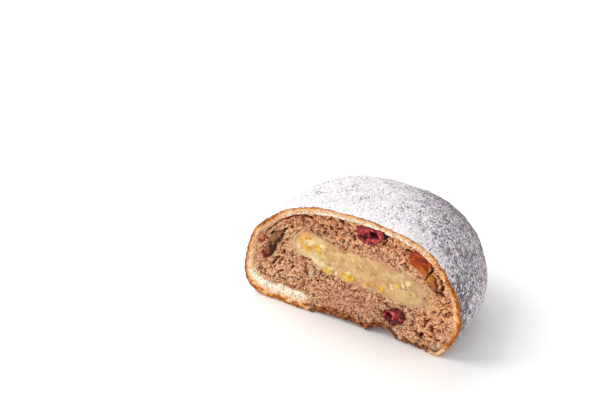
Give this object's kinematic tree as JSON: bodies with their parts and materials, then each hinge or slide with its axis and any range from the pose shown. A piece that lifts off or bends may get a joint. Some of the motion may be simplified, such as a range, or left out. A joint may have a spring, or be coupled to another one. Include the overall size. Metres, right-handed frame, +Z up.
{
  "type": "halved lemon stollen bun",
  "caption": "Half of a small round sugared stollen bun on a flat base, cut face forward with lemon paste and dried fruit in spiced crumb.",
  "frame": {"origin": "centre of the bounding box at the level of the flat base", "axes": "+X along the cut to the right as seen from the cut side, +Y from the cut face into the bun, +Z up"},
  "size_m": [0.09, 0.049, 0.0481],
  "materials": {
    "sugared_dough": "powdered sugar over a thin golden crust and pale dough",
    "spiced_crumb": "open, moist, cinnamon brown crumb",
    "lemon_paste": "moist, slightly translucent paste with candied lemon peel",
    "cranberry": "wrinkled, glossy, dark red",
    "orange_peel": "candied, glossy, amber",
    "sultana": "cut sultana, translucent tan",
    "raisin": "cut raisin, dark brown"
  },
  "bodies": {
    "root": {"sugared_wrapper": "sugared_dough", "spiced_crumb": "spiced_crumb", "lemon_filling": "lemon_paste", "cranberry_upper": "cranberry", "cranberry_lower": "cranberry", "orange_peel": "orange_peel", "sultana": "sultana", "raisin": "raisin", "cranberry_scrap": "cranberry"}
  },
  "joints": []
}
